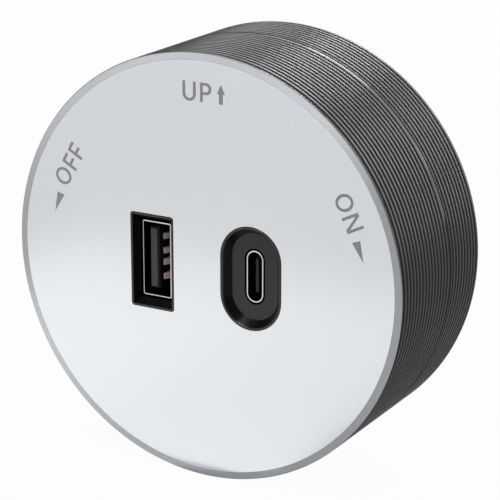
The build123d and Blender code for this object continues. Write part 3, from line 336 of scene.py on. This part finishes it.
def shade_painted_by_depth(name, shade, roughness, lit_to, reach, metallic=0.0, shine=0.5):
    """Painted shade: a finish whose colour darkens to black with its depth in a port, where
    hardly any light comes.
    """
    f = Finish(name)
    fine = f.noise(2600.0)
    # Painted shade: 0 where the surface counts as lit, rising to 1 deeper in the port, where the
    # colour turns black
    depth = fade(f.axis(Y), lit_to, reach)
    lit = f.blend(fine, shaded(shade, 0.92), shade)
    return f.close(
        f.shader(
            {
                "Base Color": f.blend(depth, lit, PAINTED_SHADE_BLACK),
                "Metallic": metallic,
                "Specular IOR Level": shine,
                "Roughness": uneven(roughness, (fine, 0.06)) + depth * DEEP_ROUGHNESS,
                "Normal": f.bump(fine, 0.002 * MM, strength=0.5),
            }
        )
    )


def shell_steel(name, front_y):
    """Drawn steel of a port's shell, with painted shade that darkens it to black just behind its
    front edge, so only that edge shows lit.
    """
    return shade_painted_by_depth(name, grey(0.68), 0.20, front_y + SHELL_LIP, SHELL_FADE, metallic=1.0)


def bezel_black(name, node, floor_y):
    """Deep black moulding, whose walls between its edge and floor have painted shade: a darker
    colour and a duller reflection.
    """
    f = Finish(name)
    fine = f.noise(3000.0)
    roughness = uneven(0.24, (fine, 0.08))
    satin = f.shader(
        {
            "Base Color": f.blend(fine, (0.0065, 0.0065, 0.0067), (0.0095, 0.0095, 0.0097)),
            "Specular IOR Level": 0.6,
            "Roughness": roughness,
            "Normal": f.bump(fine, 0.002 * MM, strength=0.5),
        }
    )
    # Painted shade on the walls: a darker colour with a weaker reflection
    wall_painted_shade = f.shader(
        {
            "Base Color": f.blend(fine, (0.0050, 0.0050, 0.0051), (0.0070, 0.0070, 0.0071)),
            "Specular IOR Level": 0.15,
            "Roughness": roughness,
        }
    )
    # The painted shade runs from just past the bezel's edge down to the shell's front
    wall_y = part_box(node)[0][Y] / MM + WALL_START
    past_edge = fade(f.axis(Y), wall_y, WALL_FADE)
    short_of_floor = fade(f.axis(Y), floor_y, -WALL_FADE)
    return f.close_mixed(past_edge * short_of_floor, satin, wall_painted_shade)


def board_green():
    """Laminate under green lacquer, with its weave just showing."""
    f = Finish("board_green")
    across, along = ((f.axis(i) * WEAVE_TURNS).maths("SINE") for i in (X, Z))
    weave = across * along * 0.5 + 0.5
    cloud = f.noise(160.0, detail=3.0)
    darker = (0.012, 0.11, 0.045)
    lighter = (0.03, 0.19, 0.08)
    return f.close(
        f.shader(
            {
                "Base Color": f.blend(together(cloud, weave, 0.7), darker, lighter),
                "Roughness": cloud * 0.12 + 0.26,
                "Coat Weight": 0.3,
                "Normal": f.bump(weave, 0.004 * MM, strength=0.4),
            }
        )
    )


def winding_copper():
    """Lacquered wire lying in turns."""
    f = Finish("winding_copper")
    turns = (f.axis(Y) * (2 * math.pi / (WIRE_PITCH * MM))).maths("SINE") * 0.5 + 0.5
    cloud = f.noise(300.0)
    darker = (0.30, 0.10, 0.03)
    lighter = (0.78, 0.36, 0.16)
    return f.close(
        f.shader(
            {
                "Base Color": f.blend(together(turns, cloud, 0.7), darker, lighter),
                "Metallic": 0.8,
                "Roughness": cloud * 0.15 + 0.25,
                "Normal": f.bump(turns, 0.05 * MM),
            }
        )
    )


def insulation(name, shade):
    """Soft wire insulation."""
    return moulded(name, shade, roughness=0.42, grains=1800.0, depth=0.004)


def mark_grey():
    """Printed grey marks, with a little unevenness in the ink."""
    f = Finish("mark_grey")
    ink = f.noise(2600.0, detail=3.0, roughness=0.6)
    return f.close(
        f.shader(
            {
                "Base Color": f.blend(ink, (0.235, 0.24, 0.245), (0.275, 0.28, 0.285)),
                "Roughness": ink * 0.10 + 0.50,
                "Normal": f.bump(ink, 0.002 * MM, strength=0.5),
            }
        )
    )


finishes = {
    finish.name: finish
    for finish in [
        face_silver(),
        rim_silver(),
        grip_black(),
        # The port parts below carry painted shade: darker on the bezel's walls, and darker deeper
        # in on the shell, tongue and contacts
        bezel_black("bezel_black", "usb_a_bezel", A_SHELL_Y),
        shell_steel("shell_steel", A_SHELL_Y),
        shade_painted_by_depth(
            "tongue_black",
            (0.031, 0.031, 0.032),
            roughness=0.42,
            lit_to=TONGUE_Y + TONGUE_LIT,
            reach=0.10,
        ),
        shade_painted_by_depth(
            "contact_copper",
            (0.98, 0.72, 0.64),
            roughness=0.40,
            lit_to=CONTACT_Y + CONTACT_LIT,
            reach=1.5,
            metallic=0.1,
        ),
        shade_painted_by_depth(
            "contact_gold",
            (0.86, 0.64, 0.28),
            roughness=0.30,
            lit_to=GOLD_Y,
            reach=0.5,
            metallic=1.0,
        ),
        board_green(),
        moulded("chip_black", (0.020, 0.020, 0.021), roughness=0.5, grains=2400.0, depth=0.006),
        metal("pin_tin", (0.78, 0.78, 0.76), roughness=0.30, grains=1800.0, depth=0.004),
        moulded("ferrite", (0.055, 0.055, 0.06), 0.62, grains=1400.0, depth=0.020, worn=0.25),
        moulded("bobbin_cream", (0.72, 0.68, 0.56), 0.45, grains=1500.0, depth=0.004, worn=0.05),
        winding_copper(),
        moulded("capacitor_sleeve", (0.018, 0.022, 0.045), 0.30, grains=900.0, depth=0.004),
        moulded("film_yellow", (0.74, 0.50, 0.05), 0.30, grains=900.0, depth=0.004, worn=0.05),
        moulded("fuse_black", grey(0.030), roughness=0.42, grains=1500.0, depth=0.005),
        moulded("varistor_blue", (0.03, 0.09, 0.34), 0.30, grains=700.0, depth=0.010, worn=0.10),
        moulded("chassis_grey", (0.085, 0.085, 0.088), 0.48, grains=2200.0, depth=0.005),
        metal("screw_steel", (0.62, 0.62, 0.63), roughness=0.34, grains=1800.0, depth=0.004),
        moulded("spindle_grey", (0.06, 0.06, 0.063), 0.46, grains=1600.0, depth=0.006, worn=0.20),
        metal("bearing_bronze", (0.60, 0.41, 0.18), roughness=0.42, grains=1500.0, depth=0.008),
        moulded("washer_white", (0.78, 0.78, 0.75), 0.38, grains=900.0, depth=0.003, worn=0.03),
        metal("spring_steel", (0.42, 0.43, 0.46), roughness=0.30, grains=2000.0, depth=0.003),
        metal("rail_brass", (0.82, 0.61, 0.27), roughness=0.30, grains=1900.0, depth=0.004),
        insulation("wire_brown", (0.13, 0.045, 0.018)),
        insulation("wire_blue", (0.018, 0.07, 0.30)),
        insulation("wire_green", (0.05, 0.26, 0.06)),
    ]
}

slots = {entry["node"]: entry["material_slot"] for entry in frame["record"]["subparts"]}


def paint(piece, finish):
    """Give a piece one finish."""
    piece.data.materials.clear()
    piece.data.materials.append(finish.block)


for name, node in nodes.items():
    paint(node, finishes[slots[name]])
# The C port's bezel and shell get their own painted shade, set to the depth of the C shell's
# front
paint(nodes["usb_c_bezel"], bezel_black("bezel_black_c", "usb_c_bezel", C_SHELL_Y))
paint(nodes["usb_c_shell"], shell_steel("shell_steel_c", C_SHELL_Y))


# Printed marks. Lengths are in millimetres and angles in degrees, from +x towards +z
PRINT_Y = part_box("face_disc")[0][Y] / MM
PRINT_THICKNESS = 0.01
RING_STEPS = 64
TURNING = "turning_unit"
ink = mark_grey()


def arc(centre, radii, start, end, steps=24):
    """Points on an ellipse's arc."""
    points = []
    for i in range(steps + 1):
        turn = math.radians(start + (end - start) * i / steps)
        x = centre[0] + radii[0] * math.cos(turn)
        z = centre[1] + radii[1] * math.sin(turn)
        points.append((x, z))
    return points


def printed(name, outlines, middle=(0.0, 0.0), tilt=0.0):
    """Flat print on the face, from outlines in x and z, turned and then moved to its middle."""
    bpy.ops.object.select_all(action="DESELECT")
    shape = bpy.data.curves.new(name, "CURVE")
    shape.dimensions = "2D"
    shape.fill_mode = "BOTH"
    shape.extrude = PRINT_THICKNESS / 2
    for outline in outlines:
        spline = shape.splines.new("POLY")
        spline.points.add(len(outline) - 1)
        for point, (x, z) in zip(spline.points, outline):
            point.co = (x, z, 0.0, 1.0)
        spline.use_cyclic_u = True
    piece = bpy.data.objects.new(name, shape)
    bpy.context.collection.objects.link(piece)
    bpy.context.view_layer.objects.active = piece
    piece.select_set(True)
    bpy.ops.object.convert(target="MESH")
    tilted = Matrix.Rotation(math.radians(tilt), 4, "Z")
    upright = Matrix.Rotation(math.radians(90), 4, "X")
    move = Matrix.Translation((middle[0], PRINT_Y - PRINT_THICKNESS / 2, middle[1]))
    piece.data.transform(Matrix.Scale(MM, 4) @ move @ upright @ tilted)
    paint(piece, ink)
    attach(piece, TURNING)


def ring_letter(middle, width, height, stroke):
    """The two outlines of an O, whose stroke is thinner at its top and bottom."""
    thin = stroke * 0.92
    outer = arc(middle, (width / 2, height / 2), 0, 360, RING_STEPS)[:-1]
    inner = arc(middle, (width / 2 - stroke, height / 2 - thin), 0, 360, RING_STEPS)[:-1]
    return [outer, inner]


def letter_f(left, top, bottom, width, stroke, arm, arm_reach):
    """The outline of an F."""
    right = left + width
    return [
        [
            (left, bottom),
            (left + stroke, bottom),
            (left + stroke, arm - stroke / 2),
            (arm_reach, arm - stroke / 2),
            (arm_reach, arm + stroke / 2),
            (left + stroke, arm + stroke / 2),
            (left + stroke, top - stroke),
            (right, top - stroke),
            (right, top),
            (left, top),
        ]
    ]


def letter_n(left, right, top, bottom, stroke, slant):
    """The outline of an N."""
    notch = slant * 0.9
    foot = slant * 0.87
    return [
        [
            (left, bottom),
            (left + stroke, bottom),
            (left + stroke, top - notch),
            (right - foot, bottom),
            (right, bottom),
            (right, top),
            (right - stroke, top),
            (right - stroke, bottom + notch),
            (left + foot, top),
            (left, top),
        ]
    ]


def letter_u(left, right, top, bottom, stroke, bend):
    """The outline of a U, whose stroke is thinner at its bottom."""
    middle = ((left + right) / 2, bend)
    half = (right - left) / 2
    thin = stroke * 0.9
    outer = arc(middle, (half, bend - bottom), 180, 360)
    inner = arc(middle, (half - stroke, bend - bottom - thin), 360, 180)
    right_top = [(right, top), (right - stroke, top)]
    return [[(left, top)] + outer + right_top + inner + [(left + stroke, top)]]


def letter_p(left, right, top, bottom, stroke, bowl, hole_top, hole_bottom, hole_right):
    """The two outlines of a P."""
    half = (top - bowl) / 2
    reach = half * 0.95
    stem = [(left, bottom), (left + stroke, bottom), (left + stroke, bowl)]
    outer = stem + arc((right - reach, top - half), (reach, half), -90, 90) + [(left, top)]
    hole_half = (hole_top - hole_bottom) / 2
    middle = (hole_right - hole_half, (hole_top + hole_bottom) / 2)
    inner = [(left + stroke, hole_bottom)]
    inner += arc(middle, (hole_half, hole_half), -90, 90) + [(left + stroke, hole_top)]
    return [outer, inner]


def upright_arrow(tip, neck, foot, head, shaft):
    """The outline of an arrow that points up, with the sides of its head and shaft in x."""
    return [
        [
            (shaft[0], foot),
            (shaft[1], foot),
            (shaft[1], neck),
            (head[1], neck),
            tip,
            (head[0], neck),
            (shaft[0], neck),
        ]
    ]


# The words and arrows. The two round the rim are lettered about their own middle
UP_TOP = 31.23
UP_STROKE = 0.52
UP_SHIFT = (0.11, -0.02)
up_word = letter_u(-3.48, -1.0, UP_TOP, bottom=28.02, stroke=UP_STROKE, bend=29.20)
up_word += letter_p(
    left=-0.23,
    right=1.88,
    top=UP_TOP,
    bottom=28.08,
    stroke=UP_STROKE,
    bowl=29.26,
    hole_top=30.77,
    hole_bottom=29.72,
    hole_right=1.36,
)
up_arrow = upright_arrow(
    tip=(3.61, 31.26),
    neck=29.7,
    foot=28.06,
    head=(2.86, 4.36),
    shaft=(3.25, 3.95),
)
printed("mark_up", up_word, UP_SHIFT)
printed("mark_up_arrow", up_arrow, UP_SHIFT)

ON_ANGLE = 26.25
ON_MIDDLE = (26.5, 13.5)
on_word = ring_letter((-1.76, 0.07), width=2.87, height=3.2, stroke=0.5)
on_word += letter_n(0.34, 2.98, top=1.62, bottom=-1.53, stroke=0.48, slant=0.72)
printed("mark_on", on_word, ON_MIDDLE, ON_ANGLE - 90)
printed("mark_on_arrow", [[(27.2, 8.87), (28.6, 9.4), (29.25, 5.85)]])

OFF_ANGLE = 151.6
OFF_MIDDLE = (-25.78, 14.13)
off_word = ring_letter((-2.09, 0.05), width=2.87, height=3.18, stroke=0.5)
off_word += letter_f(0.02, 1.47, -1.63, width=1.77, stroke=0.5, arm=-0.2, arm_reach=1.68)
off_word += letter_f(2.37, 1.42, -1.68, width=1.77, stroke=0.5, arm=-0.25, arm_reach=4.0)
printed("mark_off", off_word, OFF_MIDDLE, OFF_ANGLE - 90)
printed("mark_off_arrow", [[(-28.15, 9.4), (-26.8, 9.0), (-28.75, 5.9)]])


# Floor, light and camera. Lengths are in metres
FLOOR_Z = cad_box[0][Z]
FLOOR_SIZE = 6.0
FLOOR_SEEN = 0.965
FLOOR_MIRRORED = 0.18
FLOOR_GREY = 0.5
WORLD_SEEN = 0.985
WORLD_GLOW = 0.125
WHITE = grey(1.0)
CARD_LIFT = 0.0005
CARD_LIFT_LOW = 0.0001


def rays(f):
    """Whether the floor or world is seen, straight or through glass, and whether mirrored."""
    path = f.node("LightPath")
    direct = Value(f, path.outputs["Is Camera Ray"])
    through = Value(f, path.outputs["Is Transmission Ray"])
    return direct + through, Value(f, path.outputs["Is Glossy Ray"])


def floor_finish():
    """Floor that reads as white to the camera and keeps a soft shadow."""
    f = Finish("floor_white")
    seen, mirrored = rays(f)
    matt = f.node("BsdfDiffuse", None, {"Color": colour(grey(FLOOR_GREY))})
    glow = f.node("Emission", None, {"Color": colour(WHITE), "Strength": 1.0})
    return f.close_mixed(seen * FLOOR_SEEN + mirrored * FLOOR_MIRRORED, matt, glow)


bpy.ops.object.select_all(action="DESELECT")
bpy.ops.mesh.primitive_plane_add(size=FLOOR_SIZE, location=(0, 0, FLOOR_Z))
floor = bpy.context.object
floor.name = "floor"
paint(floor, floor_finish())


def studio_air():
    """A world that reads as white to the camera and lights the object faintly."""
    f = Finish("studio", bpy.data.worlds)
    seen, _ = rays(f)
    strength = seen * (WORLD_SEEN - WORLD_GLOW) + WORLD_GLOW
    sky = f.node("Background", None, {"Color": colour(WHITE), "Strength": strength})
    return f.close(sky, "World")


bpy.context.scene.world = studio_air().block


def lamp(name, place, target, size, glow, shape="RECTANGLE"):
    """A soft box that faces its target, with its glow per area of its rectangle."""
    light = bpy.data.lights.new(name, "AREA")
    light.shape = shape
    light.size, light.size_y = size
    light.energy = glow * size[0] * size[1] * math.pi
    holder = bpy.data.objects.new(name, light)
    bpy.context.collection.objects.link(holder)
    holder.location = place
    holder.rotation_euler = (Vector(target) - Vector(place)).to_track_quat("-Z", "Y").to_euler()
    holder.visible_camera = False


def card(name, x, y, size, glow, lift=CARD_LIFT, shape="RECTANGLE"):
    """A soft box that lies just over the floor and faces up."""
    lamp(name, (x, y, FLOOR_Z + lift), (x, y, 1.0), size, glow, shape)


MIDDLE = (0, 0, 0)
lamp("back_left", (-0.43, 0.80, 0.44), MIDDLE, size=(0.36, 0.34), glow=3.5)
lamp("back_spot", (-0.085, 0.75, 0.50), MIDDLE, size=(0.32, 0.22), glow=16.5)
lamp("back_right", (0.30, 0.75, 0.38), MIDDLE, size=(0.45, 0.40), glow=5.8)
lamp("back_low", (0.50, 0.78, 0.14), MIDDLE, size=(0.30, 0.36), glow=5.1)
lamp("top", (-0.03, -0.35, 0.72), MIDDLE, size=(0.36, 0.30), glow=9.0)
lamp("front", (-0.35, -0.85, 0.16), MIDDLE, size=(0.88, 0.36), glow=2.05)
lamp("left", (-0.80, -0.45, 0.08), MIDDLE, size=(0.50, 0.26), glow=0.85)
card("card_near", -0.0405, -0.0825, size=(0.107, 0.101), glow=0.573)
card("card_side", -0.112, -0.104, size=(0.036, 0.058), glow=0.24)
card("card_right", 0.0215, -0.0965, size=(0.017, 0.073), glow=0.25)
card("card_low", -0.0135, -0.0308, (0.036, 0.0028), 0.22, CARD_LIFT_LOW, shape="ELLIPSE")
card("card_far", -0.25, -0.32, size=(0.54, 0.35), glow=0.232)

CAMERA_PLACE = (0.163908, -0.299338, 0.102508)
LENS_LENGTH = 147.2  # millimetres, as the sensor's width
SENSOR_WIDTH = 36.0
lens = bpy.data.cameras.new("camera")
lens.lens = LENS_LENGTH
lens.sensor_width = SENSOR_WIDTH
lens.clip_start = 0.01
camera = bpy.data.objects.new("camera", lens)
bpy.context.collection.objects.link(camera)
right = Vector((0.8674, 0.4976, 0.0))
back = Vector((0.4748, -0.8277, 0.2992))
over = back.cross(right)
turned = Matrix((right, over, back)).transposed().to_4x4()
camera.matrix_world = Matrix.Translation(CAMERA_PLACE) @ turned
bpy.context.scene.camera = camera
bpy.context.scene.view_settings.view_transform = "Standard"
